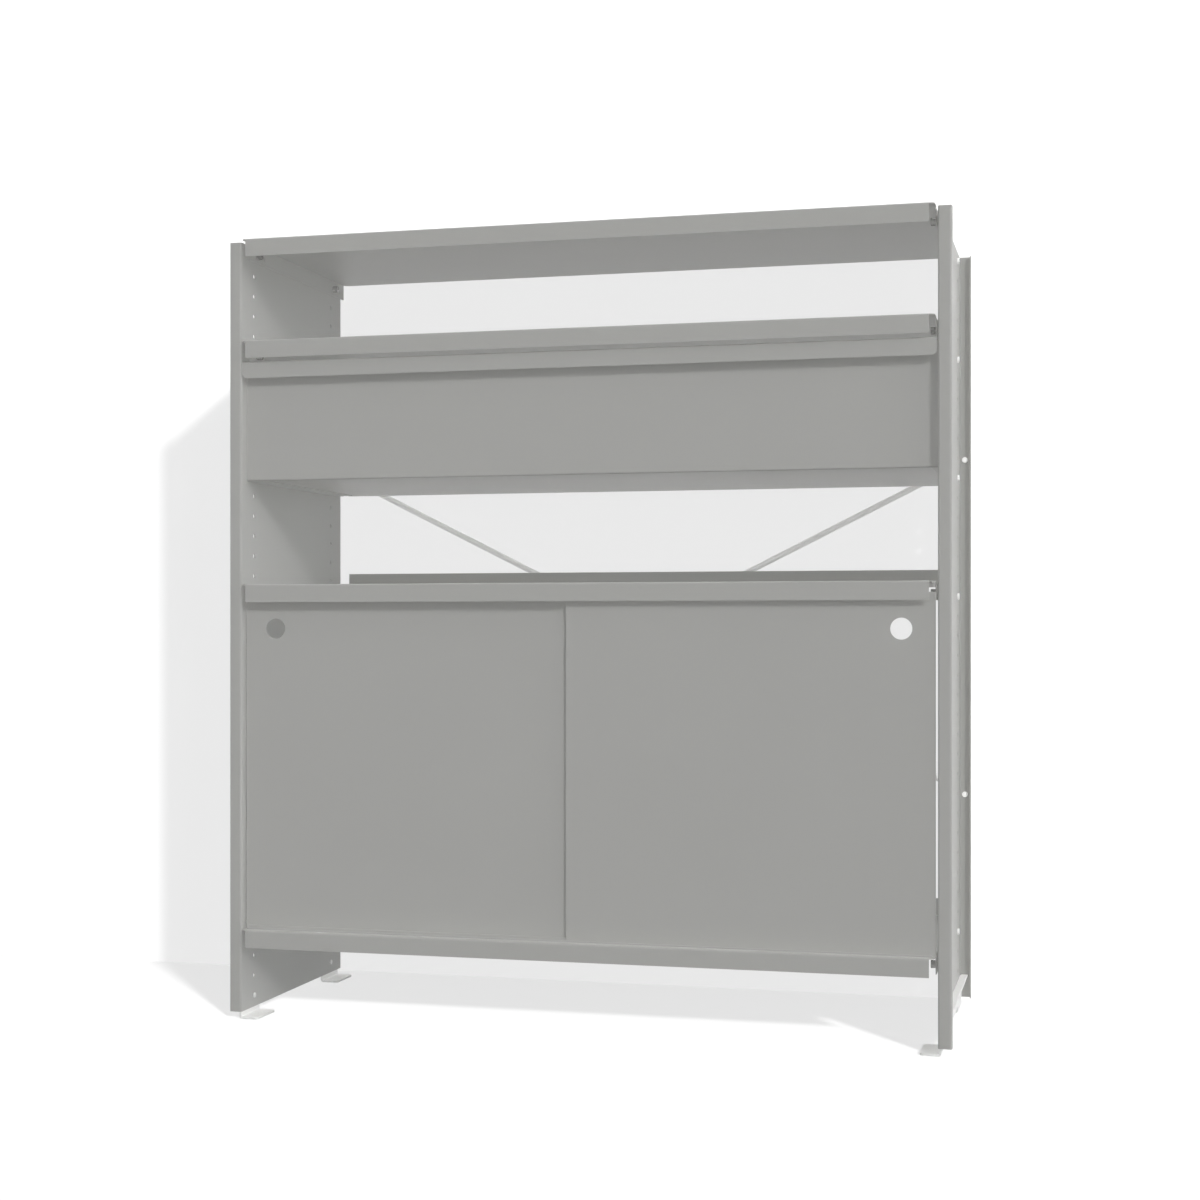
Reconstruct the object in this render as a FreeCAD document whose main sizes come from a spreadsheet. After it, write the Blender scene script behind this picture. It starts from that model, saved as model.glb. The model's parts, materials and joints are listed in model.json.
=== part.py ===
import FreeCAD, Part
import os
import Sketcher

# Highboard of folded sheet steel, in millimetres.
# X runs across the width, Y from front to back, Z up from the floor.
# The origin lies on the floor, in the middle of the whole object's box.

doc = FreeCAD.newDocument("highboard")
sizes = doc.addObject("Spreadsheet::Sheet", "sizes")

DRIVING_SIZES = [
    # side panels
    ("clear_width", 1020, "between the webs of the side panels"),
    ("panel_depth", 390, "front to back over the flanges"),
    ("panel_height", 1140, "length of the side panel"),
    ("flange", 19, "reach of the flanges, from the web's inner face outwards"),
    ("return_lip", 13, "lip that closes each flange"),
    ("panel_sheet", 1.5, "sheet of the side panels"),
    ("panel_bend", 3, "outer radius of the panel's bends"),
    ("foot_height", 11, "gap between the floor and the panel"),
    ("hole_pitch", 30, "step of the hole rows"),
    ("hole_base", 17, "lowest hole above the panel's lower end"),
    ("hole_margin", 13, "least distance from the top hole to the panel's upper end"),
    ("hole_inset", 45, "hole columns from the front and rear of the panel"),
    ("hole_dia", 6.5, "holes in the web"),
    # rows that carry things, counted down from the top row, and up for the lowest shelf
    ("upper_rows_down", 5, "row of the shelf over the drawer"),
    ("runner_rows_down", 11, "row of the drawer runners"),
    ("door_rows_down", 17, "row of the shelf over the doors"),
    ("base_row", 3, "row of the lowest shelf, counted from the lowest hole"),
    # shelves
    ("shelf_sheet", 1.2, "sheet of shelves, drawer and runners"),
    ("shelf_bend", 2.4, "outer radius of the shelf's bends"),
    ("shelf_gap", 3.5, "from the web to the shelf's side"),
    ("shelf_overhang", 10.5, "reach of the shelf past the panel, front and rear"),
    ("shelf_lip", 26, "height of the shelf's lips"),
    ("lip_relief", 7.5, "front and rear lips stop this far from the shelf's sides"),
    ("corner_round", 6, "rounded corners of the plate"),
    ("bend_notch", 2, "slit between a corner of the plate and the side lip"),
    ("side_lip_front", 30.5, "side lips start this far behind the front edge"),
    ("side_lip_rear", 10.5, "side lips end this far before the rear edge"),
    ("pin_drop", 16, "from the shelf's top to its pins"),
    ("keyhole_run", 22, "length of the keyhole's narrow stretch"),
    # pins that carry shelves and runners
    ("pin_dia", 6.2, "shank in the web"),
    ("pin_neck", 5.8, "neck in the keyhole"),
    ("pin_head", 11, "head inside the shelf"),
    ("pin_head_run", 8, "length of that head"),
    ("pin_collar", 11, "collar between web and shelf"),
    ("cap_dia", 9.2, "cap outside the web"),
    ("cap_height", 2.6, "thickness of the cap"),
    ("cap_end", 0.4, "end wall of the cap"),
    ("cap_room", 0.2, "from the pin's end to that wall"),
    ("flat_head", 1.6, "height of the runner pins' heads"),
    ("flat_head_dia", 8.6, "heads of the runner pins"),
    ("fit_gap", 0.3, "play between pieces that hang or slide in each other"),
    ("turn_play", 0.1, "play of a shaft in its bore, on the diameter"),
    # drawer
    ("drawer_gap", 4.4, "under the lip of the shelf above"),
    ("drawer_side_gap", 1, "from the drawer's front to the web"),
    ("grip_height", 24, "folded grip along the drawer's top"),
    ("grip_reach", 18, "grip in front of the drawer's front sheet"),
    ("grip_chamfer", 5, "cut lower corners of the grip"),
    ("front_foot", 5, "flange along the front sheet's lower edge"),
    ("runner_below_pin", 9.5, "runner's lower edge under its pins"),
    ("tray_depth", 375, "front to back"),
    ("tray_height", 100, "walls of the tray"),
    # runners and rollers
    ("runner_gap", 12.5, "from the web to the tray's side"),
    ("runner_height", 32, "cabinet runner"),
    ("runner_floor", 11, "lower flange of the cabinet runner"),
    ("runner_roof", 6, "upper flange of the cabinet runner"),
    ("runner_start", 24, "cabinet runner behind the panel's front"),
    ("runner_length", 350, "cabinet runner"),
    ("runner_shelf", 17.5, "flange of the drawer runner under the tray"),
    ("drawer_runner_end", 365, "rear end of the drawer runner behind the panel's front"),
    ("rail_reach", 9, "rolling flange of the drawer runner"),
    ("roller_dia", 22, "nylon rollers"),
    ("roller_width", 5, "nylon rollers"),
    ("roller_inset", 4.2, "from the web to the roller"),
    ("roller_setback", 14, "front roller behind the cabinet runner's front"),
    ("roller_tail", 12, "rear roller before the drawer runner's end"),
    ("axle_dia", 5, "roller axles"),
    ("axle_head", 8, "heads of the roller axles"),
    ("axle_head_height", 1.2, "heads of the roller axles"),
    ("axle_room", 0.2, "from the roller to that head"),
    ("front_roller_lift", 0.8, "front roller over the cabinet runner's floor"),
    ("rear_roller_lift", 0.1, "rear roller over the same floor"),
    ("rail_play", 0.15, "rail over the front roller"),
    ("dish_depth", 1, "ring sunk in the roller's face"),
    ("dish_rim", 2.5, "from the roller's edge to the ring"),
    ("dish_hub", 1.5, "from the axle's head to the ring"),
    # sliding doors and their tracks
    ("door_sheet", 1.5, "sheet of the doors"),
    ("door_thick", 3, "hemmed edge of the doors"),
    ("door_hem", 14, "width of the hem"),
    ("door_gap", 3, "from a closed door to the web"),
    ("door_overlap", 24, "doors lap in the middle"),
    ("door_setback", 4, "front door behind the panel's front"),
    ("door_pitch", 8, "from the front door to the rear door"),
    ("door_drop", 15, "from the shelf's top to the door's shoulders"),
    ("door_lift", 0.2, "door over the sole of the lower track"),
    ("tongue_height", 9, "tongue over the shoulders, in the upper track"),
    ("tongue_inset", 10, "tongue stops this far from the door's sides"),
    ("finger_dia", 30, "finger hole"),
    ("finger_drop", 50, "finger hole under the shoulders"),
    ("finger_inset", 46.5, "finger hole from the door's side"),
    ("track_base", 1, "sole of the tracks"),
    ("track_wall", 1.6, "outer ribs of the tracks"),
    ("track_groove", 4, "width of the grooves"),
    ("track_sill", 2, "front rib of the lower track"),
    ("track_rib", 5, "other ribs of the lower track"),
    ("upper_rib", 7, "ribs of the upper track"),
    ("track_end", 8, "from the web to the track's end"),
    # cross brace behind the shelves
    ("brace_rise", 515, "between the upper and lower bolts"),
    ("brace_dia", 9, "rods"),
    ("brace_clear", 1.5, "rods behind the shelves, and from each other"),
    ("tab_width", 13, "flattened ends of the rods"),
    ("tab_thick", 4, "flattened ends of the rods"),
    ("tab_run", 22, "length of the flattened ends"),
    ("tab_root", 4, "round rod inside the flattened ends"),
    ("bolt_dia", 5, "brace bolts"),
    ("bolt_hole", 5.5, "their holes"),
    ("bolt_head", 8.5, "their heads"),
    ("bolt_head_height", 4, "their heads"),
    ("socket_key", 4, "hexagon socket, across corners"),
    ("socket_depth", 2.2, "hexagon socket"),
    ("nut_corners", 9.2, "nuts, across corners"),
    ("nut_height", 4, "nuts"),
    ("bolt_tail", 2, "bolt past its nut"),
    ("spacer_dia", 12, "tubes between panel and rod"),
    # feet
    ("foot_sheet", 3, "sheet of the foot rails"),
    ("rail_inset", 4, "foot rail, from the panel's front and rear"),
    ("rail_stand", 35, "foot rail, above the panel's lower end"),
    ("rail_ledge", 13.5, "flange on top of the foot rail, from the web's inner face"),
    ("rail_bend", 4, "outer radius of the foot rail's bends"),
    ("foot_length", 64, "base plate, front to back"),
    ("foot_front_inset", 3, "front base plate, from the panel's front"),
    ("foot_rear_inset", 12, "rear base plate, from the panel's rear"),
    ("foot_inside", 25, "base plate on the inner side of the web"),
    ("foot_round", 6, "rounded inner corners of the base plate"),
    ("rivet_dia", 6.2, "foot rivets"),
    ("rivet_head", 7.4, "foot rivets"),
    ("rivet_head_height", 1.6, "foot rivets"),
]

for row, (alias, value, note) in enumerate(DRIVING_SIZES, start=1):
    sizes.set("A%d" % row, note)
    sizes.set("B%d" % row, str(value))
    sizes.setAlias("B%d" % row, alias)
doc.recompute()


class Names:
    """Gives sizes.alias for each alias of the sheet, for use in expressions."""

    def __getattr__(self, alias):
        return "sizes." + alias


S = Names()

# Lengths and levels that several pieces share, as expressions on the sheet.
HALF = f"({S.clear_width} / 2)"
ROD_PLANE_A = f"({S.shelf_overhang} + {S.brace_clear} + {S.brace_dia} / 2)"
ROD_PLANE_B = f"({ROD_PLANE_A} + {S.brace_dia} + {S.brace_clear})"
REAR_REACH = f"({ROD_PLANE_B} + {S.tab_thick} / 2 + {S.nut_height} + {S.bolt_tail})"
FRONT = f"(({S.shelf_overhang} - {S.panel_depth} - {REAR_REACH}) / 2)"
REAR = f"({FRONT} + {S.panel_depth})"
FRONT_HOLES = f"({FRONT} + {S.hole_inset})"
REAR_HOLES = f"({REAR} - {S.hole_inset})"
LOWEST_HOLE = f"({S.foot_height} + {S.hole_base})"
RAIL_TOP = f"({S.foot_height} + {S.rail_stand})"
ROUNDING = "0.001"
HOLE_STEPS = (f"floor(({S.panel_height} - {S.hole_base} - {S.hole_margin})"
              f" / {S.hole_pitch} + {ROUNDING})")
MID_HEIGHT = f"({S.foot_height} + {S.panel_height} / 2)"
SHELF_HALF = f"({HALF} - {S.shelf_gap})"
SHELF_FRONT = f"({FRONT} - {S.shelf_overhang})"
SHELF_REAR = f"({REAR} + {S.shelf_overhang})"


def hole_level(rows_down):
    return f"({LOWEST_HOLE} + ({HOLE_STEPS} - {rows_down}) * {S.hole_pitch})"


PIN_LEVEL = {
    "top": hole_level("0"),
    "upper": hole_level(S.upper_rows_down),
    "runner": hole_level(S.runner_rows_down),
    "door": hole_level(S.door_rows_down),
    "bottom": f"({LOWEST_HOLE} + {S.base_row} * {S.hole_pitch})",
}
SHELVES = ("top", "upper", "door", "bottom")
SHELF_TOP = {name: f"({PIN_LEVEL[name]} + {S.pin_drop})" for name in SHELVES}

# Stepped lengths of one turned piece run into each other by this much.
OVERLAP = "1"

SIDES = (("left", -1), ("right", 1))
HOLE_COLUMNS = (FRONT_HOLES, REAR_HOLES)

nodes = []


def node(item, label):
    item.Label = label
    nodes.append(item)
    return item


def value_of(expression):
    return float(sizes.evalExpression(expression))


def bind(item, **expressions):
    for name, expression in expressions.items():
        item.setExpression(name, expression)
    return item


def place(item, x="0", y="0", z="0"):
    for axis, expression in (("x", x), ("y", y), ("z", z)):
        item.setExpression("Placement.Base." + axis, expression)
    return item


def block(x, y, z, dx, dy, dz):
    box = doc.addObject("Part::Box", "block")
    bind(box, Length=dx, Width=dy, Height=dz)
    return place(box, x, y, z)


TURN = {"x": ((0, 1, 0), 90), "y": ((1, 0, 0), -90), "z": ((0, 0, 1), 0)}


def turn(item, axis):
    direction, angle = TURN[axis]
    item.Placement.Rotation = FreeCAD.Rotation(FreeCAD.Vector(*direction), angle)
    return item


def rod(axis, x, y, z, diameter, length):
    cylinder = turn(doc.addObject("Part::Cylinder", "rod"), axis)
    bind(cylinder, Radius=f"{diameter} / 2", Height=length)
    return place(cylinder, x, y, z)


def hexagon(axis, x, y, z, corners, length):
    prism = turn(doc.addObject("Part::Prism", "hexagon"), axis)
    prism.Polygon = 6
    bind(prism, Circumradius=f"{corners} / 2", Height=length)
    return place(prism, x, y, z)


def fused(items):
    joined = doc.addObject("Part::MultiFuse", "joined")
    joined.Shapes = items
    joined.Refine = True
    return joined


def cut(base, tool):
    result = doc.addObject("Part::Cut", "cut")
    result.Base = base
    result.Tool = tool
    return result


def group(items, label):
    gathered = doc.addObject("Part::Compound", "group")
    gathered.Links = items
    return node(gathered, label)


def plane_of(body, role):
    return next(item for item in body.Origin.OriginFeatures if item.Role == role)


def sketch_on(body, role, offset):
    sketch = body.newObject("Sketcher::SketchObject", "sketch")
    sketch.AttachmentSupport = [(plane_of(body, role), "")]
    sketch.MapMode = "FlatFace"
    sketch.setExpression("AttachmentOffset.Base.z", offset)
    return sketch


def tie_point(sketch, geometry, vertex, across, up):
    for kind, expression in (("DistanceX", across), ("DistanceY", up)):
        index = sketch.addConstraint(Sketcher.Constraint(kind, geometry, vertex, value_of(expression)))
        sketch.setExpression("Constraints[%d]" % index, expression)


def outline(sketch, points):
    corners = [FreeCAD.Vector(value_of(a), value_of(b), 0) for a, b in points]
    first = sketch.GeometryCount
    for start, end in zip(corners, corners[1:] + corners[:1]):
        sketch.addGeometry(Part.LineSegment(start, end))
    count = len(corners)
    for i in range(count):
        following = first + (i + 1) % count
        sketch.addConstraint(Sketcher.Constraint("Coincident", first + i, 2, following, 1))
    for i, (across, up) in enumerate(points):
        tie_point(sketch, first + i, 1, across, up)


def circle(sketch, across, up, diameter):
    centre = FreeCAD.Vector(value_of(across), value_of(up), 0)
    radius = f"{diameter} / 2"
    index = sketch.addGeometry(Part.Circle(centre, FreeCAD.Vector(0, 0, 1), value_of(radius)))
    tie_point(sketch, index, 3, across, up)
    ring = sketch.addConstraint(Sketcher.Constraint("Radius", index, value_of(radius)))
    sketch.setExpression("Constraints[%d]" % ring, radius)


def rectangle(a0, b0, a1, b1):
    return [(a0, b0), (a1, b0), (a1, b1), (a0, b1)]


def pad(body, sketch, length, both_ways=False):
    feature = body.newObject("PartDesign::Pad", "pad")
    feature.Profile = sketch
    feature.setExpression("Length", length)
    if both_ways:
        feature.SideType = "Symmetric"
    doc.recompute()
    return feature


def pocket_through(body, sketch):
    before = body.Shape.Volume
    feature = body.newObject("PartDesign::Pocket", "pocket")
    feature.Profile = sketch
    feature.Type = "ThroughAll"
    feature.SideType = "Symmetric"
    doc.recompute()
    if body.Shape.Volume >= before:
        raise RuntimeError("a pocket cut nothing in " + body.Name)
    return feature


def pocket(body, sketch, depth, backwards=False):
    before = body.Shape.Volume
    feature = body.newObject("PartDesign::Pocket", "pocket")
    feature.Profile = sketch
    feature.setExpression("Length", depth)
    feature.Reversed = backwards
    doc.recompute()
    if body.Shape.Volume >= before:
        raise RuntimeError("a pocket cut nothing in " + body.Name)
    return feature


AXES = {"x": FreeCAD.Vector(1, 0, 0), "y": FreeCAD.Vector(0, 1, 0), "z": FreeCAD.Vector(0, 0, 1)}
PARALLEL = 0.999
NEAR = 0.01


def edges_along(shape, axis, corners):
    """Names of the edges that run along an axis through given corners of the section."""
    across = [name for name in "xyz" if name != axis]
    wanted = [tuple(value_of(item) for item in corner) for corner in corners]
    found = []
    for number, edge in enumerate(shape.Edges, start=1):
        if edge.Degenerated or edge.Curve.TypeId != "Part::GeomLine":
            continue
        if abs(edge.tangentAt(edge.FirstParameter).dot(AXES[axis])) < PARALLEL:
            continue
        at = edge.CenterOfMass
        spot = [getattr(at, name) for name in across]
        if any(abs(spot[0] - a) < NEAR and abs(spot[1] - b) < NEAR for a, b in wanted):
            found.append("Edge%d" % number)
    return found


def round_edges(body, axis, corners, radius):
    """Rounds the bends that run along an axis, given the corners of the section."""
    base = body.Tip
    names = edges_along(base.Shape, axis, corners)
    if len(names) < len(corners):
        raise RuntimeError("a bend is missing in " + body.Name)
    feature = body.newObject("PartDesign::Fillet", "bends")
    feature.Base = (base, names)
    feature.setExpression("Radius", radius)
    doc.recompute()
    return feature


def new_body(label):
    return node(doc.addObject("PartDesign::Body", "body"), label)


def inner(bend, sheet):
    return f"({bend} - {sheet})"


def outward(sign, offset):
    """X of a point that lies offset outside the inner face of one side's web."""
    return f"{sign} * ({HALF} + {offset})"


def step(sign, near, far):
    """Lower X and length of a stretch from near to far outside a web's inner face."""
    start = outward(sign, near) if sign > 0 else outward(sign, far)
    return start, f"({far} - ({near}))"


# Side panels: one folded channel each, open outwards, with two columns of holes.
def side_panel(name, sign):
    body = new_body(name + "_side_panel")
    sheet, bend = S.panel_sheet, S.panel_bend
    web_in, web_out = outward(sign, "0"), outward(sign, sheet)
    edge_in, edge_out = outward(sign, f"{S.flange} - {sheet}"), outward(sign, S.flange)
    front_in, rear_in = f"({FRONT} + {sheet})", f"({REAR} - {sheet})"
    lip_front, lip_rear = f"({FRONT} + {S.return_lip})", f"({REAR} - {S.return_lip})"
    section = [(web_in, FRONT), (web_in, REAR), (edge_out, REAR), (edge_out, lip_rear),
               (edge_in, lip_rear), (edge_in, rear_in), (web_out, rear_in), (web_out, front_in),
               (edge_in, front_in), (edge_in, lip_front), (edge_out, lip_front), (edge_out, FRONT)]
    sketch = sketch_on(body, "XY_Plane", S.foot_height)
    outline(sketch, section)
    pad(body, sketch, S.panel_height)
    round_edges(body, "z", [section[i] for i in (0, 1, 2, 11)], bend)
    round_edges(body, "z", [section[i] for i in (5, 6, 7, 8)], inner(bend, sheet))

    # from one sheet behind the rear flange to one sheet before it
    bolt_holes = sketch_on(body, "XZ_Plane", f"-({REAR} + {sheet})")
    for direction in (-1, 1):
        circle(bolt_holes, outward(sign, f"{S.flange} / 2"),
               f"({MID_HEIGHT} + {direction} * {S.brace_rise} / 2)", S.bolt_hole)
    pocket(body, bolt_holes, f"{S.panel_sheet} * 3", backwards=True)

    hole_pair = sketch_on(body, "YZ_Plane", "0")
    for column in HOLE_COLUMNS:
        circle(hole_pair, column, LOWEST_HOLE, S.hole_dia)
    holes = pocket_through(body, hole_pair)
    rows = body.newObject("PartDesign::LinearPattern", "hole_rows")
    rows.Originals = [holes]
    rows.Direction = (plane_of(body, "Z_Axis"), [""])
    bind(rows, Length=f"{HOLE_STEPS} * {S.hole_pitch}", Occurrences=f"{HOLE_STEPS} + 1")
    body.Tip = rows


# Shelves: a plate with lips down at the front and sides, and a lip up at the rear.
def shelf(name):
    body = new_body("%s_shelf" % name)
    sheet, bend, top = S.shelf_sheet, S.shelf_bend, SHELF_TOP[name]
    under = f"({top} - {sheet})"
    lip_end = f"({top} - {S.shelf_lip})"

    side_out, side_in = SHELF_HALF, f"({SHELF_HALF} - {sheet})"
    trough = [(f"-{side_out}", lip_end), (f"-{side_out}", top), (side_out, top), (side_out, lip_end),
              (side_in, lip_end), (side_in, under), (f"-{side_in}", under), (f"-{side_in}", lip_end)]
    side_front = f"({SHELF_FRONT} + {S.side_lip_front})"
    side_rear = f"({SHELF_REAR} - {S.side_lip_rear})"
    sketch = sketch_on(body, "XZ_Plane", f"-{side_rear}")
    outline(sketch, trough)
    pad(body, sketch, f"{side_rear} - {side_front}")
    round_edges(body, "y", [trough[i] for i in (1, 2)], bend)
    round_edges(body, "y", [trough[i] for i in (5, 6)], inner(bend, sheet))

    fold = [(SHELF_FRONT, lip_end), (SHELF_FRONT, top), (f"({SHELF_REAR} - {sheet})", top),
            (f"({SHELF_REAR} - {sheet})", f"({top} + {S.shelf_lip})"),
            (SHELF_REAR, f"({top} + {S.shelf_lip})"), (SHELF_REAR, under),
            (f"({SHELF_FRONT} + {sheet})", under), (f"({SHELF_FRONT} + {sheet})", lip_end)]
    sketch = sketch_on(body, "YZ_Plane", "0")
    outline(sketch, fold)
    pad(body, sketch, f"2 * ({SHELF_HALF} - {S.lip_relief})", both_ways=True)
    round_edges(body, "x", [fold[i] for i in (1, 5)], bend)
    round_edges(body, "x", [fold[i] for i in (2, 6)], inner(bend, sheet))

    flat = f"({SHELF_HALF} - {bend})"
    plate_front, plate_rear = f"({SHELF_FRONT} + {bend})", f"({SHELF_REAR} - {bend})"
    notch_front = f"({side_front} - {S.bend_notch})"
    notch_rear = f"({side_rear} + {S.bend_notch})"
    right = [(side_out, plate_front), (side_out, notch_front), (flat, notch_front),
             (flat, notch_rear), (side_out, notch_rear), (side_out, plate_rear)]
    left = [(f"-{across}", along) for across, along in reversed(right)]
    sketch = sketch_on(body, "XY_Plane", under)
    outline(sketch, right + left)
    pad(body, sketch, sheet)
    round_edges(body, "z", [right[0], right[-1], left[0], left[-1]], S.corner_round)

    slot_half = f"({S.pin_neck} / 2 + {S.fit_gap})"
    slots = sketch_on(body, "YZ_Plane", "0")
    rounds = sketch_on(body, "YZ_Plane", "0")
    for column in HOLE_COLUMNS:
        far = f"({column} + {S.keyhole_run})"
        outline(slots, rectangle(column, f"({PIN_LEVEL[name]} - {slot_half})",
                                 far, f"({PIN_LEVEL[name]} + {slot_half})"))
        circle(rounds, column, PIN_LEVEL[name], f"(2 * {slot_half})")
        circle(rounds, far, PIN_LEVEL[name], f"({S.pin_head} + 2 * {S.fit_gap})")
    pocket_through(body, slots)
    pocket_through(body, rounds)


def web_cap(sign, column, level):
    start, length = step(sign, S.panel_sheet, f"({S.panel_sheet} + {S.cap_height})")
    deep = f"({S.cap_height} - {S.cap_end})"
    hollow_start, hollow_length = step(sign, S.panel_sheet, f"({S.panel_sheet} + {deep})")
    return cut(rod("x", start, column, level, S.cap_dia, length),
               rod("x", hollow_start, column, level, f"({S.pin_dia} + {S.turn_play})",
                   hollow_length))


def web_shank(sign, column, level, near):
    end = f"({S.panel_sheet} + {S.cap_height} - {S.cap_end} - {S.cap_room})"
    start, length = step(sign, near, end)
    return rod("x", start, column, level, S.pin_dia, length)


# Shelf pins: a collar against the web, a neck in the keyhole and a head inside the shelf.
def shelf_pin(sign, column, level):
    lip_out = f"-({S.shelf_gap} - {S.fit_gap})"
    head_end = f"-({S.shelf_gap} + {S.shelf_sheet} + {S.fit_gap})"
    parts = [web_shank(sign, column, level, f"-{OVERLAP}")]
    for near, far, diameter in (
            (lip_out, "0", S.pin_collar),
            (f"({head_end} - {OVERLAP})", f"({lip_out} + {OVERLAP})", S.pin_neck),
            (f"({head_end} - {S.pin_head_run})", head_end, S.pin_head)):
        start, length = step(sign, near, far)
        parts.append(rod("x", start, column, level, diameter, length))
    return fused(parts)


# Drawer: front sheet with a folded grip, and a tray behind it.
DRAWER_BOTTOM = f"({PIN_LEVEL['runner']} - {S.runner_below_pin})"
DRAWER_TOP = f"({SHELF_TOP['upper']} - {S.shelf_lip} - {S.drawer_gap})"
FRONT_SHEET = f"({FRONT} + {S.grip_reach})"
TRAY_FRONT = f"({FRONT_SHEET} + {S.shelf_sheet})"
TRAY_BOTTOM = f"({DRAWER_BOTTOM} + {S.shelf_sheet})"


def drawer_front():
    body = new_body("drawer_front")
    sheet, bend = S.shelf_sheet, S.shelf_bend
    half = f"({HALF} - {S.drawer_side_gap})"
    grip_end = f"({DRAWER_TOP} - {S.grip_height})"
    grip_in, back = f"({FRONT} + {sheet})", f"({FRONT_SHEET} + {sheet})"
    foot_end = f"({FRONT_SHEET} + {S.front_foot})"
    section = [(FRONT_SHEET, DRAWER_BOTTOM), (FRONT_SHEET, f"({DRAWER_TOP} - {sheet})"),
               (grip_in, f"({DRAWER_TOP} - {sheet})"), (grip_in, grip_end), (FRONT, grip_end),
               (FRONT, DRAWER_TOP), (back, DRAWER_TOP), (back, TRAY_BOTTOM),
               (foot_end, TRAY_BOTTOM), (foot_end, DRAWER_BOTTOM)]
    sketch = sketch_on(body, "YZ_Plane", "0")
    outline(sketch, section)
    pad(body, sketch, f"2 * {half}", both_ways=True)
    round_edges(body, "x", [section[i] for i in (0, 5, 6)], bend)
    round_edges(body, "x", [section[i] for i in (1, 2, 7)], inner(bend, sheet))
    corners = [(f"-{half}", grip_end), (half, grip_end)]
    base = body.Tip
    chamfer = body.newObject("PartDesign::Chamfer", "grip_corners")
    chamfer.Base = (base, edges_along(base.Shape, "y", corners))
    chamfer.setExpression("Size", S.grip_chamfer)


def drawer_tray():
    body = new_body("drawer_tray")
    sheet, bend = S.shelf_sheet, S.shelf_bend
    half = f"({HALF} - {S.runner_gap})"
    rear = f"({TRAY_FRONT} + {S.tray_depth})"
    floor = sketch_on(body, "XY_Plane", TRAY_BOTTOM)
    outer = rectangle(f"-{half}", TRAY_FRONT, half, rear)
    outline(floor, outer)
    pad(body, floor, S.tray_height)
    round_edges(body, "z", outer, bend)
    round_edges(body, "x", [(TRAY_FRONT, TRAY_BOTTOM), (rear, TRAY_BOTTOM)], bend)
    hollow = rectangle(f"-({half} - {sheet})", f"({TRAY_FRONT} + {sheet})",
                       f"({half} - {sheet})", f"({rear} - {sheet})")
    mouth = sketch_on(body, "XY_Plane", f"({TRAY_BOTTOM} + {S.tray_height})")
    outline(mouth, hollow)
    pocket(body, mouth, f"{S.tray_height} - {sheet}")
    round_edges(body, "z", hollow, inner(bend, sheet))
    round_edges(body, "x", [(f"({TRAY_FRONT} + {sheet})", f"({TRAY_BOTTOM} + {sheet})"),
                            (f"({rear} - {sheet})", f"({TRAY_BOTTOM} + {sheet})")],
                inner(bend, sheet))


# Runners: a channel on the web, an angle under the tray, and a roller on each.
RUNNER_FLOOR = f"({DRAWER_BOTTOM} + {S.shelf_sheet})"
RAIL_LEVEL = f"({RUNNER_FLOOR} + {S.front_roller_lift} + {S.roller_dia} + {S.rail_play})"
FRONT_ROLLER = (f"({FRONT} + {S.runner_start} + {S.roller_setback})",
                f"({RUNNER_FLOOR} + {S.front_roller_lift} + {S.roller_dia} / 2)")
REAR_ROLLER = (f"({FRONT} + {S.drawer_runner_end} - {S.roller_tail})",
               f"({RUNNER_FLOOR} + {S.rear_roller_lift} + {S.roller_dia} / 2)")
AXLE_BORE = f"({S.axle_dia} + {S.turn_play})"


def profile(label, role, offset, length, points):
    body = new_body(label)
    sketch = sketch_on(body, role, offset)
    outline(sketch, points)
    pad(body, sketch, length)
    return body


def inset(sign, distance):
    return outward(sign, f"-({distance})")


def cabinet_runner(name, sign):
    low, sheet = DRAWER_BOTTOM, S.shelf_sheet
    high = f"({low} + {S.runner_height})"
    at = [inset(sign, item) for item in ("0", sheet, S.runner_roof, S.runner_floor)]
    section = [(at[0], low), (at[0], high), (at[2], high), (at[2], f"({high} - {sheet})"),
               (at[1], f"({high} - {sheet})"), (at[1], f"({low} + {sheet})"),
               (at[3], f"({low} + {sheet})"), (at[3], low)]
    rear = f"({FRONT} + {S.runner_start} + {S.runner_length})"
    body = profile(name + "_cabinet_runner", "XZ_Plane", f"-{rear}", S.runner_length, section)
    holes = sketch_on(body, "YZ_Plane", "0")
    for column in HOLE_COLUMNS:
        circle(holes, column, PIN_LEVEL["runner"], S.hole_dia)
    circle(holes, FRONT_ROLLER[0], FRONT_ROLLER[1], AXLE_BORE)
    pocket_through(body, holes)


def drawer_runner(name, sign):
    low, sheet = DRAWER_BOTTOM, S.shelf_sheet
    rail_top = f"({RAIL_LEVEL} + {sheet})"
    plate, tray = f"({S.runner_gap} - {sheet})", S.runner_gap
    at = [inset(sign, item) for item in
          (plate, tray, f"({tray} - {S.rail_reach})", f"({tray} + {S.runner_shelf})")]
    section = [(at[0], low), (at[0], RAIL_LEVEL), (at[2], RAIL_LEVEL), (at[2], rail_top),
               (at[1], rail_top), (at[1], f"({low} + {sheet})"), (at[3], f"({low} + {sheet})"),
               (at[3], low)]
    front = f"({FRONT_SHEET} + {S.front_foot} + {S.fit_gap})"
    rear = f"({FRONT} + {S.drawer_runner_end})"
    body = profile(name + "_drawer_runner", "XZ_Plane", f"-{rear}", f"{rear} - {front}", section)
    hole = sketch_on(body, "YZ_Plane", "0")
    circle(hole, REAR_ROLLER[0], REAR_ROLLER[1], AXLE_BORE)
    pocket_through(body, hole)


def runner_pin(sign, column):
    level = PIN_LEVEL["runner"]
    head_start, head_length = step(sign, f"-({S.shelf_sheet} + {S.flat_head})", f"-{S.shelf_sheet}")
    return fused([web_shank(sign, column, level, f"-({S.shelf_sheet} + {OVERLAP})"),
                  rod("x", head_start, column, level, S.flat_head_dia, head_length)])


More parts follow.
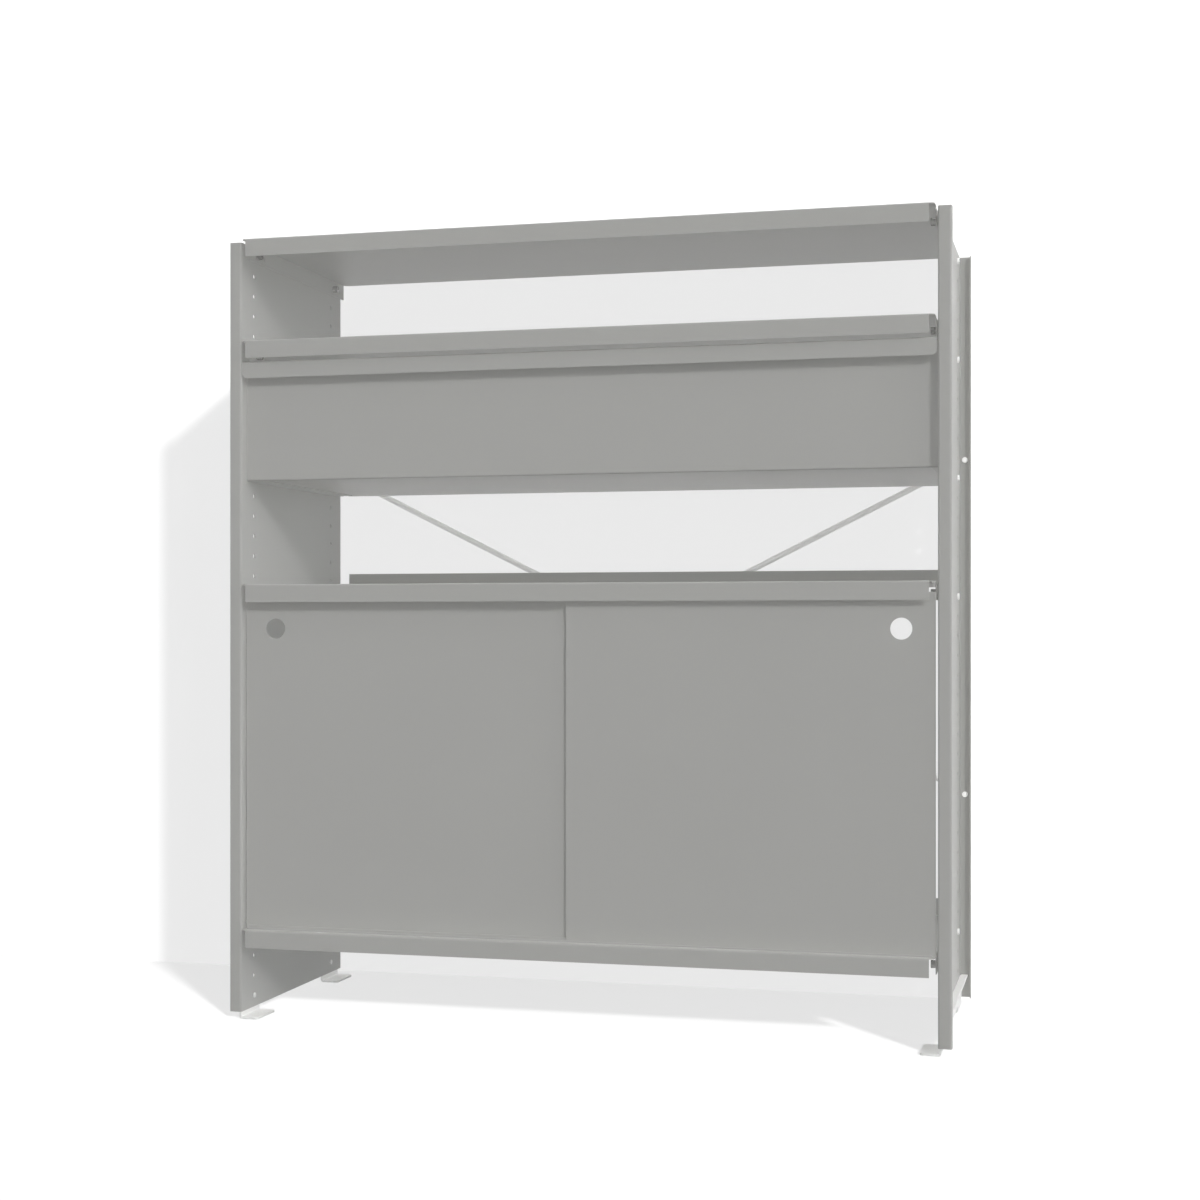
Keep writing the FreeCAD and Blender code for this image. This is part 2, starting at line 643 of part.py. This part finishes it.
def roller(label, sign, centre):
    start, length = step(sign, f"-({S.roller_inset} + {S.roller_width})", f"-{S.roller_inset}")
    wheel = rod("x", start, centre[0], centre[1], S.roller_dia, length)
    groove_start, groove_length = step(sign, f"-({S.roller_inset} + {S.roller_width})",
                                       f"-({S.roller_inset} + {S.roller_width} - {S.dish_depth})")
    ring_out = f"({S.roller_dia} - 2 * {S.dish_rim})"
    ring_in = f"({S.axle_head} + 2 * {S.dish_hub})"
    dish = cut(rod("x", groove_start, centre[0], centre[1], ring_out, groove_length),
               rod("x", groove_start, centre[0], centre[1], ring_in, groove_length))
    bore = rod("x", start, centre[0], centre[1], AXLE_BORE, length)
    node(cut(cut(wheel, dish), bore), label)


def axle(sign, centre, root, tip, tip_head):
    """Axle from its riveted root in a runner to the head that keeps the roller on."""
    spans = [(min(root, tip, key=value_of), max(root, tip, key=value_of), S.axle_dia),
             (tip_head[0], tip_head[1], S.axle_head)]
    parts = []
    for near, far, diameter in spans:
        start, length = step(sign, near, far)
        parts.append(rod("x", start, centre[0], centre[1], diameter, length))
    return fused(parts)


def front_axle(sign):
    outer = f"-({S.roller_inset} + {S.roller_width} + {S.axle_room})"
    return axle(sign, FRONT_ROLLER, "0", outer, (f"({outer} - {S.axle_head_height})", outer))


def rear_axle(sign):
    outer = f"-({S.roller_inset} - {S.axle_room})"
    return axle(sign, REAR_ROLLER, f"-{S.runner_gap}", outer, (outer, f"({outer} + {S.axle_head_height})"))


# Sliding doors: hemmed sheets with a tongue on top, in two-groove tracks.
DOOR_SHOULDER = f"({SHELF_TOP['door']} - {S.door_drop})"
DOOR_FOOT = f"({SHELF_TOP['bottom']} + {S.track_base} + {S.door_lift})"
DOOR_WIDTH = f"({HALF} - {S.door_gap} + {S.door_overlap} / 2)"


def sliding_door(name, sign, front):
    body = new_body("%s_sliding_door" % name)
    closed = f"{sign} * ({HALF} - {S.door_gap})"
    lap = f"{sign} * ({HALF} - {S.door_gap} - {DOOR_WIDTH})"
    tongue_top = f"({DOOR_SHOULDER} + {S.tongue_height})"
    tongue = [f"({closed} - {sign} * {S.tongue_inset})", f"({lap} + {sign} * {S.tongue_inset})"]
    shape = [(lap, DOOR_FOOT), (closed, DOOR_FOOT), (closed, DOOR_SHOULDER),
             (tongue[0], DOOR_SHOULDER), (tongue[0], tongue_top), (tongue[1], tongue_top),
             (tongue[1], DOOR_SHOULDER), (lap, DOOR_SHOULDER)]
    rear = f"({front} + {S.door_thick})"
    sketch = sketch_on(body, "XZ_Plane", f"-{rear}")
    outline(sketch, shape)
    pad(body, sketch, S.door_thick)
    pan = sketch_on(body, "XZ_Plane", f"-{rear}")
    outline(pan, rectangle(f"({lap} + {sign} * {S.door_hem})", f"({DOOR_FOOT} + {S.door_hem})",
                           f"({closed} - {sign} * {S.door_hem})", f"({DOOR_SHOULDER} - {S.door_hem})"))
    pocket(body, pan, f"{S.door_thick} - {S.door_sheet}", backwards=True)
    finger = sketch_on(body, "XZ_Plane", "0")
    circle(finger, f"({closed} - {sign} * {S.finger_inset})", f"({DOOR_SHOULDER} - {S.finger_drop})",
           S.finger_dia)
    pocket_through(body, finger)


FRONT_DOOR = f"({FRONT} + {S.door_setback})"
REAR_DOOR = f"({FRONT_DOOR} + {S.door_pitch})"


def door_track(label, sole, up, front_rib, rib):
    """Track whose ribs stand up from a sole, or hang down from it."""
    play = f"(({S.track_groove} - {S.door_thick}) / 2)"
    groove_a = f"({FRONT_DOOR} - {play})"
    groove_b = f"({REAR_DOOR} - {play})"
    y = [f"({groove_a} - {S.track_wall})", groove_a, f"({groove_a} + {S.track_groove})", groove_b,
         f"({groove_b} + {S.track_groove})", f"({groove_b} + {S.track_groove} + {S.track_wall})"]
    base = f"({sole} + {up} * {S.track_base})"
    low_rib = f"({base} + {up} * {front_rib})"
    high_rib = f"({base} + {up} * {rib})"
    section = [(y[0], sole), (y[0], low_rib), (y[1], low_rib), (y[1], base), (y[2], base),
               (y[2], high_rib), (y[3], high_rib), (y[3], base), (y[4], base), (y[4], high_rib),
               (y[5], high_rib), (y[5], sole)]
    half = f"({HALF} - {S.track_end})"
    profile(label, "YZ_Plane", f"-{half}", f"2 * {half}", section)


# Cross brace: two rods with flattened ends, bolted to the rear flanges on spacer tubes.
BOLT_SPAN = f"({S.clear_width} + {S.flange})"
BRACE_LENGTH = f"sqrt({BOLT_SPAN} ^ 2 + {S.brace_rise} ^ 2)"
BRACE_LEAN = f"atan({BOLT_SPAN} / {S.brace_rise})"


def brace(label, sign, plane):
    round_start = f"({S.tab_run} - {S.tab_root})"
    body = [rod("z", "0", "0", round_start, S.brace_dia, f"{BRACE_LENGTH} - 2 * {round_start}")]
    holes = []
    for end, start in (("0", "0"), (BRACE_LENGTH, f"{BRACE_LENGTH} - {S.tab_run}")):
        body.append(block(f"-{S.tab_width} / 2", f"-{S.tab_thick} / 2", start,
                          S.tab_width, S.tab_thick, S.tab_run))
        body.append(rod("y", "0", f"-{S.tab_thick} / 2", end, S.tab_width, S.tab_thick))
        holes.append(rod("y", "0", f"-{S.tab_thick}", end, S.bolt_hole, f"2 * {S.tab_thick}"))
    bar = node(cut(fused(body), fused(holes)), label)
    bar.Placement.Rotation = FreeCAD.Rotation(FreeCAD.Vector(0, sign, 0), value_of(BRACE_LEAN))
    place(bar, f"-{sign} * {BOLT_SPAN} / 2", f"({REAR} + {plane})",
          f"({MID_HEIGHT} - {S.brace_rise} / 2)")
    bar.setExpression("Placement.Rotation.Angle", BRACE_LEAN)
    return bar


def brace_corners():
    for sign in (-1, 1):
        for direction in (-1, 1):
            plane = ROD_PLANE_A if sign == direction else ROD_PLANE_B
            yield (f"{sign} * {BOLT_SPAN} / 2", f"({MID_HEIGHT} + {direction} * {S.brace_rise} / 2)",
                   plane)


def brace_bolt(x, z, plane):
    seat = f"({REAR} - {S.panel_sheet})"
    shank = f"({plane} + {S.panel_sheet} + {S.tab_thick} / 2 + {S.nut_height} + {S.bolt_tail})"
    head = rod("y", x, f"({seat} - {S.bolt_head_height})", z, S.bolt_head, S.bolt_head_height)
    socket = hexagon("y", x, f"({seat} - {S.bolt_head_height})", z, S.socket_key, S.socket_depth)
    return cut(fused([head, rod("y", x, seat, z, S.bolt_dia, shank)]), socket)


def brace_nut(x, z, plane):
    seat = f"({REAR} + {plane} + {S.tab_thick} / 2)"
    return cut(hexagon("y", x, seat, z, S.nut_corners, S.nut_height),
               rod("y", x, seat, z, f"({S.bolt_dia} + {S.turn_play})", S.nut_height))


def brace_spacer(x, z, plane):
    length = f"({plane} - {S.tab_thick} / 2)"
    return cut(rod("y", x, REAR, z, S.spacer_dia, length), rod("y", x, REAR, z, S.bolt_hole, length))


# Foot rails: a flanged strip on the web's outer face with two tabs bent inwards as base plates.
def foot_rail(side, sign):
    sheet, bend = S.foot_sheet, S.rail_bend
    near, far = S.panel_sheet, f"({S.panel_sheet} + {sheet})"
    plate_in, web_out, rail_out, ledge_out = [
        outward(sign, item) for item in (f"-{S.foot_inside}", near, far, S.rail_ledge)]
    top, ledge_low = RAIL_TOP, f"({RAIL_TOP} - {sheet})"
    strip = [(web_out, S.foot_height), (rail_out, S.foot_height), (rail_out, ledge_low),
             (ledge_out, ledge_low), (ledge_out, top), (web_out, top)]
    length = f"({REAR} - {FRONT} - 2 * {S.rail_inset})"
    body = profile(side + "_foot_rail", "XZ_Plane", f"-({REAR} - {S.rail_inset})", length, strip)
    tab = [(plate_in, "0"), (rail_out, "0"), (rail_out, S.foot_height), (web_out, S.foot_height),
           (web_out, sheet), (plate_in, sheet)]
    plate_corners = []
    for plate_front in (f"({FRONT} + {S.foot_front_inset})",
                        f"({REAR} - {S.foot_rear_inset} - {S.foot_length})"):
        plate_rear = f"({plate_front} + {S.foot_length})"
        sketch = sketch_on(body, "XZ_Plane", f"-{plate_rear}")
        outline(sketch, tab)
        pad(body, sketch, S.foot_length)
        plate_corners += [(plate_in, plate_front), (plate_in, plate_rear)]
    round_edges(body, "y", [strip[5], tab[1]], bend)
    round_edges(body, "y", [strip[2], tab[4]], inner(bend, sheet))
    round_edges(body, "z", plate_corners, S.foot_round)
    holes = sketch_on(body, "YZ_Plane", "0")
    for column in HOLE_COLUMNS:
        circle(holes, column, LOWEST_HOLE, S.hole_dia)
    pocket_through(body, holes)


def foot_rivet(sign, column):
    outer = f"({S.panel_sheet} + {S.foot_sheet})"
    parts = []
    for near, far, diameter in (
            (f"-{S.rivet_head_height}", "0", S.rivet_head),
            (f"-{OVERLAP}", f"({outer} + {OVERLAP})", S.rivet_dia),
            (outer, f"({outer} + {S.rivet_head_height})", S.rivet_head)):
        start, length = step(sign, near, far)
        parts.append(rod("x", start, column, LOWEST_HOLE, diameter, length))
    return fused(parts)


for side, sign in SIDES:
    side_panel(side, sign)
for name in SHELVES:
    shelf(name)
    group([shelf_pin(sign, column, PIN_LEVEL[name]) for _, sign in SIDES for column in HOLE_COLUMNS],
          "%s_shelf_pins" % name)
    group([web_cap(sign, column, PIN_LEVEL[name]) for _, sign in SIDES for column in HOLE_COLUMNS],
          "%s_shelf_pin_caps" % name)

drawer_front()
drawer_tray()
for side, sign in SIDES:
    cabinet_runner(side, sign)
    drawer_runner(side, sign)
    roller(side + "_front_roller", sign, FRONT_ROLLER)
    roller(side + "_rear_roller", sign, REAR_ROLLER)
group([runner_pin(sign, column) for _, sign in SIDES for column in HOLE_COLUMNS], "runner_pins")
group([web_cap(sign, column, PIN_LEVEL["runner"]) for _, sign in SIDES for column in HOLE_COLUMNS],
      "runner_pin_caps")
group([front_axle(sign) for _, sign in SIDES], "front_roller_axles")
group([rear_axle(sign) for _, sign in SIDES], "rear_roller_axles")

sliding_door("left", -1, REAR_DOOR)
sliding_door("right", 1, FRONT_DOOR)
door_track("lower_door_track", SHELF_TOP["bottom"], 1, f"({S.track_sill} - {S.track_base})",
           f"({S.track_rib} - {S.track_base})")
door_track("upper_door_track", f"({SHELF_TOP['door']} - {S.shelf_sheet})", -1,
           f"({S.upper_rib} - {S.track_base})", f"({S.upper_rib} - {S.track_base})")

brace("rising_brace", 1, ROD_PLANE_A)
brace("falling_brace", -1, ROD_PLANE_B)
group([brace_bolt(*corner) for corner in brace_corners()], "brace_bolts")
group([brace_nut(*corner) for corner in brace_corners()], "brace_nuts")
group([brace_spacer(*corner) for corner in brace_corners()], "brace_spacers")

for side, sign in SIDES:
    foot_rail(side, sign)
group([foot_rivet(sign, column) for _, sign in SIDES for column in HOLE_COLUMNS], "foot_rivets")

doc.recompute()

for item in doc.Objects:
    if {"Invalid", "Error"} & set(item.State):
        raise RuntimeError("%s (%s) failed: %s" % (item.Name, item.Label, item.State))
for item in nodes:
    if item.Shape.isNull() or not item.Shape.isValid() or not item.Shape.Solids:
        raise RuntimeError("bad shape in " + item.Label)

os.makedirs("parts", exist_ok=True)
for item in nodes:
    item.Shape.exportStep("parts/%s.step" % item.Label)
    print(item.Label, len(item.Shape.Solids), "solids", round(item.Shape.Volume), "mm3")
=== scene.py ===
import json
import math
import bpy
import bmesh
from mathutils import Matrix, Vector

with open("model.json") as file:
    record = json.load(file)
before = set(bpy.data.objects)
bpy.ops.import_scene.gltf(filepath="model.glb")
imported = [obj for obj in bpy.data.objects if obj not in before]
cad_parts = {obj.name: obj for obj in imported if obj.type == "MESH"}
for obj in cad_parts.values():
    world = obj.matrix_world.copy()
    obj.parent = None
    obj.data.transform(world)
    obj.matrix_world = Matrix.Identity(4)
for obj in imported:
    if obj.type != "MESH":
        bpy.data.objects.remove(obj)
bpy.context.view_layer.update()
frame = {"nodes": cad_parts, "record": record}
cadNodes = frame["nodes"]
print("frame loaded with", len(cadNodes), "nodes")


edgeGain = 4.0  # how fast an edge mask reaches full strength
pureWhite = (1, 1, 1, 1)


# shader maths on sockets
class Wire:
    def __init__(self, sheet, socket):
        self.sheet = sheet
        self.socket = socket

    def combine(self, operation, first, second):
        return self.sheet.add("ShaderNodeMath", {"operation": operation}, {0: first, 1: second})

    def __add__(self, other):
        return self.combine("ADD", self, other)

    def __radd__(self, other):
        return self.combine("ADD", other, self)

    def __sub__(self, other):
        return self.combine("SUBTRACT", self, other)

    def __rsub__(self, other):
        return self.combine("SUBTRACT", other, self)

    def __mul__(self, other):
        return self.combine("MULTIPLY", self, other)

    def __rmul__(self, other):
        return self.combine("MULTIPLY", other, self)

    def limited(self):
        return self.sheet.add("ShaderNodeClamp", {}, {0: self})


class NodeSheet:
    def __init__(self, owner, outputKind="ShaderNodeOutputMaterial"):
        self.owner = owner
        self.owner.use_nodes = True
        self.tree = self.owner.node_tree
        self.tree.nodes.clear()
        self.output = self.tree.nodes.new(outputKind)

    def add(self, kind, settings, sockets, out=0):
        made = self.tree.nodes.new(kind)
        for key, value in settings.items():
            if key == "stops":
                ramp = made.color_ramp.elements
                while len(ramp) < len(value):
                    ramp.new(0.5)
                for stop, (place, colour) in zip(ramp, value):
                    stop.position = place
                    stop.color = colour
            else:
                setattr(made, key, value)
        for key, value in sockets.items():
            if isinstance(value, Wire):
                self.tree.links.new(value.socket, made.inputs[key])
            else:
                made.inputs[key].default_value = value
        return Wire(self, made.outputs[out])

    def objectPlace(self):
        return self.add("ShaderNodeTexCoord", {}, {}, out="Object")

    def noise(self, place, scale, detail=2.0, rough=0.5):
        return self.add("ShaderNodeTexNoise", {}, {"Vector": place, "Scale": scale, "Detail": detail,
                                                   "Roughness": rough}, out="Fac")

    def edges(self, reach):
        bent = self.add("ShaderNodeBevel", {"samples": 6}, {"Radius": reach})
        flat = self.add("ShaderNodeNewGeometry", {}, {}, out="Normal")
        same = self.add("ShaderNodeVectorMath", {"operation": "DOT_PRODUCT"}, {0: bent, 1: flat}, out="Value")
        return ((1 - same) * edgeGain).limited()

    def seenDirectly(self):
        path = self.tree.nodes.new("ShaderNodeLightPath")
        rays = ("Is Camera Ray", "Is Glossy Ray", "Is Transmission Ray")
        camera, glossy, transmitted = [Wire(self, path.outputs[ray]) for ray in rays]
        return (camera + glossy + transmitted).limited()

    def tint(self, factor, dark, light):
        return self.add("ShaderNodeMix", {"data_type": "RGBA"},
                        {"Factor": factor, 6: (*dark, 1), 7: (*light, 1)}, out=2)

    def close(self, shader):
        self.tree.links.new(shader.socket, self.output.inputs["Surface"])
        return self.owner


def shade(colour, gain):
    return tuple(channel * gain for channel in colour)


# The edge keys set a painted highlight: a lighter copy of the colour laid along bent edges, with lower
# roughness there.
powderLook = {"colour": (0.352, 0.352, 0.338), "cloud": 0.035, "cloudScale": 5.0, "cloudShare": 0.65,
              "grainScale": 3200.0, "peelScale": 950.0, "peelRough": 0.55, "peelDepth": 0.00006,
              "peelShare": 0.75, "peelStrength": 0.15, "rough": 0.46, "roughSwing": 0.12, "sheen": 0.36,
              "edgeReach": 0.0012, "bendHighlightShare": 0.6, "edgeLight": 1.45, "edgePolish": 0.12}
paleLook = {**powderLook, "colour": (0.74, 0.74, 0.73), "cloud": 0.03, "grainScale": 3000.0,
            "peelScale": 900.0, "rough": 0.44, "sheen": 0.40, "bendHighlightShare": 0.4}


def powderCoat(name, look):
    sheet = NodeSheet(bpy.data.materials.new(name))
    place = sheet.objectPlace()
    cloud = sheet.noise(place, look["cloudScale"], 3.0)
    grain = sheet.noise(place, look["grainScale"], 1.0)
    peel = sheet.noise(place, look["peelScale"], 2.0, look["peelRough"])
    mottle = (cloud * look["cloudShare"] + grain * (1 - look["cloudShare"])).limited()
    dark = shade(look["colour"], 1 - look["cloud"])
    light = shade(look["colour"], 1 + look["cloud"])
    # Painted highlight along the bent edges: the bevel edge mask, broken up by the cloud noise, blends in a
    # lighter colour and lowers the roughness.
    paintedBendHighlight = sheet.edges(look["edgeReach"]) * cloud * look["bendHighlightShare"]
    bright = (*shade(look["colour"], look["edgeLight"]), 1)
    colour = sheet.add("ShaderNodeMix", {"data_type": "RGBA"},
                       {"Factor": paintedBendHighlight, 6: sheet.tint(mottle, dark, light), 7: bright}, out=2)
    roughness = (peel - 0.5) * look["roughSwing"] + look["rough"] - paintedBendHighlight * look["edgePolish"]
    relief = peel * look["peelShare"] + grain * (1 - look["peelShare"])
    bump = sheet.add("ShaderNodeBump", {}, {"Strength": look["peelStrength"], "Distance": look["peelDepth"],
                                           "Height": relief})
    return sheet.close(sheet.add("ShaderNodeBsdfPrincipled", {},
                                 {"Base Color": colour, "Roughness": roughness, "Normal": bump,
                                  "Specular IOR Level": look["sheen"]}))


zincLook = {"colour": (0.60, 0.60, 0.59), "swing": 0.10, "spangleScale": 420.0, "spangleShare": 0.5,
            "hazeScale": 60.0, "hazeShare": 0.6, "rough": 0.42, "roughSwing": 0.16, "metal": 0.55,
            "reliefStrength": 0.3, "reliefDepth": 0.00005}
rodLook = {**zincLook, "colour": (0.78, 0.78, 0.77), "swing": 0.06, "metal": 0.15}
# Painted highlight: bolts, nuts, spacers and caps get a near-white base colour that stands in for the glints
# of light on them.
glintPaintLook = {**zincLook, "colour": (0.90, 0.90, 0.89), "swing": 0.05, "metal": 0.10, "rough": 0.32}
pinLook = {**zincLook, "colour": (0.31, 0.31, 0.30), "swing": 0.12, "metal": 0.35, "rough": 0.28}


def zincPlate(name, look):
    sheet = NodeSheet(bpy.data.materials.new(name))
    place = sheet.objectPlace()
    spangle = sheet.add("ShaderNodeTexVoronoi", {"feature": "SMOOTH_F1"},
                        {"Vector": place, "Scale": look["spangleScale"]}, out="Distance")
    haze = sheet.noise(place, look["hazeScale"], 3.0)
    mixed = (spangle * look["spangleShare"] + haze * look["hazeShare"]).limited()
    dark = shade(look["colour"], 1 - look["swing"])
    light = shade(look["colour"], 1 + look["swing"])
    roughness = (haze - 0.5) * look["roughSwing"] + look["rough"]
    bump = sheet.add("ShaderNodeBump", {}, {"Strength": look["reliefStrength"],
                                           "Distance": look["reliefDepth"], "Height": spangle})
    return sheet.close(sheet.add("ShaderNodeBsdfPrincipled", {},
                                 {"Base Color": sheet.tint(mixed, dark, light), "Roughness": roughness,
                                  "Metallic": look["metal"], "Normal": bump}))


nylonLook = {"colour": (0.74, 0.73, 0.69), "swing": 0.06, "grainScale": 1400.0, "flowScale": 40.0,
             "rough": 0.48, "roughSwing": 0.14, "reliefStrength": 0.35, "reliefDepth": 0.00006}
trackLook = {**nylonLook, "colour": (0.33, 0.33, 0.318), "grainScale": 1800.0, "rough": 0.55}


def mouldedPlastic(name, look):
    sheet = NodeSheet(bpy.data.materials.new(name))
    place = sheet.objectPlace()
    grain = sheet.noise(place, look["grainScale"], 2.0)
    flow = sheet.noise(place, look["flowScale"], 2.0)
    dark = shade(look["colour"], 1 - look["swing"])
    light = shade(look["colour"], 1 + look["swing"])
    mixed = (grain * 0.5 + flow * 0.5).limited()
    roughness = (grain - 0.5) * look["roughSwing"] + look["rough"]
    bump = sheet.add("ShaderNodeBump", {}, {"Strength": look["reliefStrength"],
                                           "Distance": look["reliefDepth"], "Height": grain})
    return sheet.close(sheet.add("ShaderNodeBsdfPrincipled", {},
                                 {"Base Color": sheet.tint(mixed, dark, light), "Roughness": roughness,
                                  "Normal": bump}))


finishes = {
    "coated_steel": powderCoat("warmGreyPowder", powderLook),
    "zinc_steel": zincPlate("zincPlate", zincLook),
    "pale_coating": powderCoat("palePowder", paleLook),
    "nylon": mouldedPlastic("rollerNylon", nylonLook),
    "grey_plastic": mouldedPlastic("trackPlastic", trackLook),
}
rodFinish = zincPlate("rodZinc", rodLook)
glintPaintFinish = zincPlate("zincWithPaintedGlint", glintPaintLook)
pinFinish = zincPlate("darkPin", pinLook)
# The near-white zinc with the painted highlight goes on the bolts, nuts, spacers and caps. The shelf pins get
# a dark zinc.
special = {"rising_brace": rodFinish, "falling_brace": rodFinish, "brace_bolts": glintPaintFinish,
           "brace_nuts": glintPaintFinish, "brace_spacers": glintPaintFinish, "runner_pin_caps": glintPaintFinish}
for level in ("top", "upper", "door", "bottom"):
    special[level + "_shelf_pin_caps"] = glintPaintFinish
    special[level + "_shelf_pins"] = pinFinish
for entry in frame["record"]["subparts"]:
    skin = cadNodes[entry["node"]].data
    skin.materials.clear()
    skin.materials.append(special.get(entry["node"], finishes[entry["material_slot"]]))


# floor and wall: an even white with the cabinet's shadow
stageLook = {"wallShade": 0.76, "floorShade": 0.715, "paper": 0.10, "glow": 0.06, "wallY": 0.2190,
             "half": 6.0, "height": 5.0}
stageGroup = bpy.data.collections.new("stage")
bpy.context.scene.collection.children.link(stageGroup)


def stageMaterial(name, tone):
    sheet = NodeSheet(bpy.data.materials.new(name))
    paper = sheet.add("ShaderNodeBsdfDiffuse", {}, {"Color": (*[stageLook["paper"]] * 3, 1)})
    even = sheet.add("ShaderNodeEmission", {}, {"Color": pureWhite, "Strength": tone})
    shown = sheet.add("ShaderNodeAddShader", {}, {0: paper, 1: even})
    bounce = sheet.add("ShaderNodeEmission", {}, {"Color": pureWhite, "Strength": stageLook["glow"]})
    front = sheet.add("ShaderNodeMixShader", {}, {0: sheet.seenDirectly(), 1: bounce, 2: shown})
    behind = sheet.add("ShaderNodeNewGeometry", {}, {}, out="Backfacing")
    clear = sheet.add("ShaderNodeBsdfTransparent", {}, {})
    return sheet.close(sheet.add("ShaderNodeMixShader", {}, {0: behind, 1: front, 2: clear}))


def stagePlane(name, corners, tone):
    shape = bmesh.new()
    shape.faces.new([shape.verts.new(corner) for corner in corners])
    mesh = bpy.data.meshes.new(name)
    shape.to_mesh(mesh)
    shape.free()
    plane = bpy.data.objects.new(name, mesh)
    stageGroup.objects.link(plane)
    mesh.materials.append(stageMaterial(name + "White", tone))
    return plane


half, wallY, high = stageLook["half"], stageLook["wallY"], stageLook["height"]
stagePlane("floor", [(-half, -half, 0), (half, -half, 0), (half, half, 0), (-half, half, 0)],
           stageLook["floorShade"])
stagePlane("wall", [(-half, wallY, 0), (half, wallY, 0), (half, wallY, high), (-half, wallY, high)],
           stageLook["wallShade"])
print("floor and wall set")

# light: an even shadowless fill, a key from the upper right, a broad lamp beside it, a lamp for the stage
lightPlan = {"room": 0.40, "above": 0.88, "below": 0.52, "front": 0.39, "back": 0.30, "fillAngle": 180.0,
             "key": 1.10, "keyAngle": 9.0, "keyFrom": (0.547, -0.723, 0.423),
             "side": 1.45, "sideAngle": 50.0, "sideFrom": (1.0, -0.06, 0.15),
             "shadowKey": 17.0, "shadowAngle": 4.0, "shadowFrom": (0.578, -0.723, 0.423)}
roomSheet = NodeSheet(bpy.data.worlds.new("whiteRoom"), "ShaderNodeOutputWorld")
roomLight = roomSheet.add("ShaderNodeBackground", {}, {"Color": pureWhite, "Strength": lightPlan["room"]})
roomSeen = roomSheet.add("ShaderNodeBackground", {}, {"Color": pureWhite, "Strength": 1.0})
bpy.context.scene.world = roomSheet.close(
    roomSheet.add("ShaderNodeMixShader", {}, {0: roomSheet.seenDirectly(), 1: roomLight, 2: roomSeen}))


def sunLamp(name, energy, angle, comesFrom):
    lamp = bpy.data.lights.new(name, "SUN")
    lamp.energy = energy
    lamp.angle = math.radians(angle)
    holder = bpy.data.objects.new(name, lamp)
    holder.rotation_mode = "QUATERNION"
    holder.rotation_quaternion = (-Vector(comesFrom)).to_track_quat("-Z", "Y")
    bpy.context.scene.collection.objects.link(holder)
    return holder


sunLamp("key", lightPlan["key"], lightPlan["keyAngle"], lightPlan["keyFrom"])
sunLamp("side", lightPlan["side"], lightPlan["sideAngle"], lightPlan["sideFrom"])
for name, part, comesFrom in (("fillAbove", "above", (0, 0, 1)), ("fillBelow", "below", (0, 0, -1)),
                              ("fillFront", "front", (0, -1, 0)), ("fillBack", "back", (0, 1, 0))):
    fillLamp = sunLamp(name, lightPlan[part], lightPlan["fillAngle"], comesFrom)
    fillLamp.data.use_shadow = False
    fillLamp.data.cycles.use_multiple_importance_sampling = False
shadowLamp = sunLamp("shadowKey", lightPlan["shadowKey"], lightPlan["shadowAngle"], lightPlan["shadowFrom"])
shadowLamp.light_linking.receiver_collection = stageGroup
print("light set")

# camera at the photograph's place
cameraPlan = {"place": (0.7300, -2.88295, 0.5810), "yaw": 14.488, "lens": 58.746, "shiftUp": 0.02264}
cameraData = bpy.data.cameras.new("camera")
cameraData.lens = cameraPlan["lens"]
cameraData.sensor_width = 36.0
cameraData.shift_y = cameraPlan["shiftUp"]
camera = bpy.data.objects.new("camera", cameraData)
camera.location = cameraPlan["place"]
camera.rotation_euler = (math.radians(90), 0, math.radians(cameraPlan["yaw"]))
bpy.context.scene.collection.objects.link(camera)
bpy.context.scene.camera = camera

bpy.context.scene.view_settings.view_transform = "Standard"

bpy.context.view_layer.update()
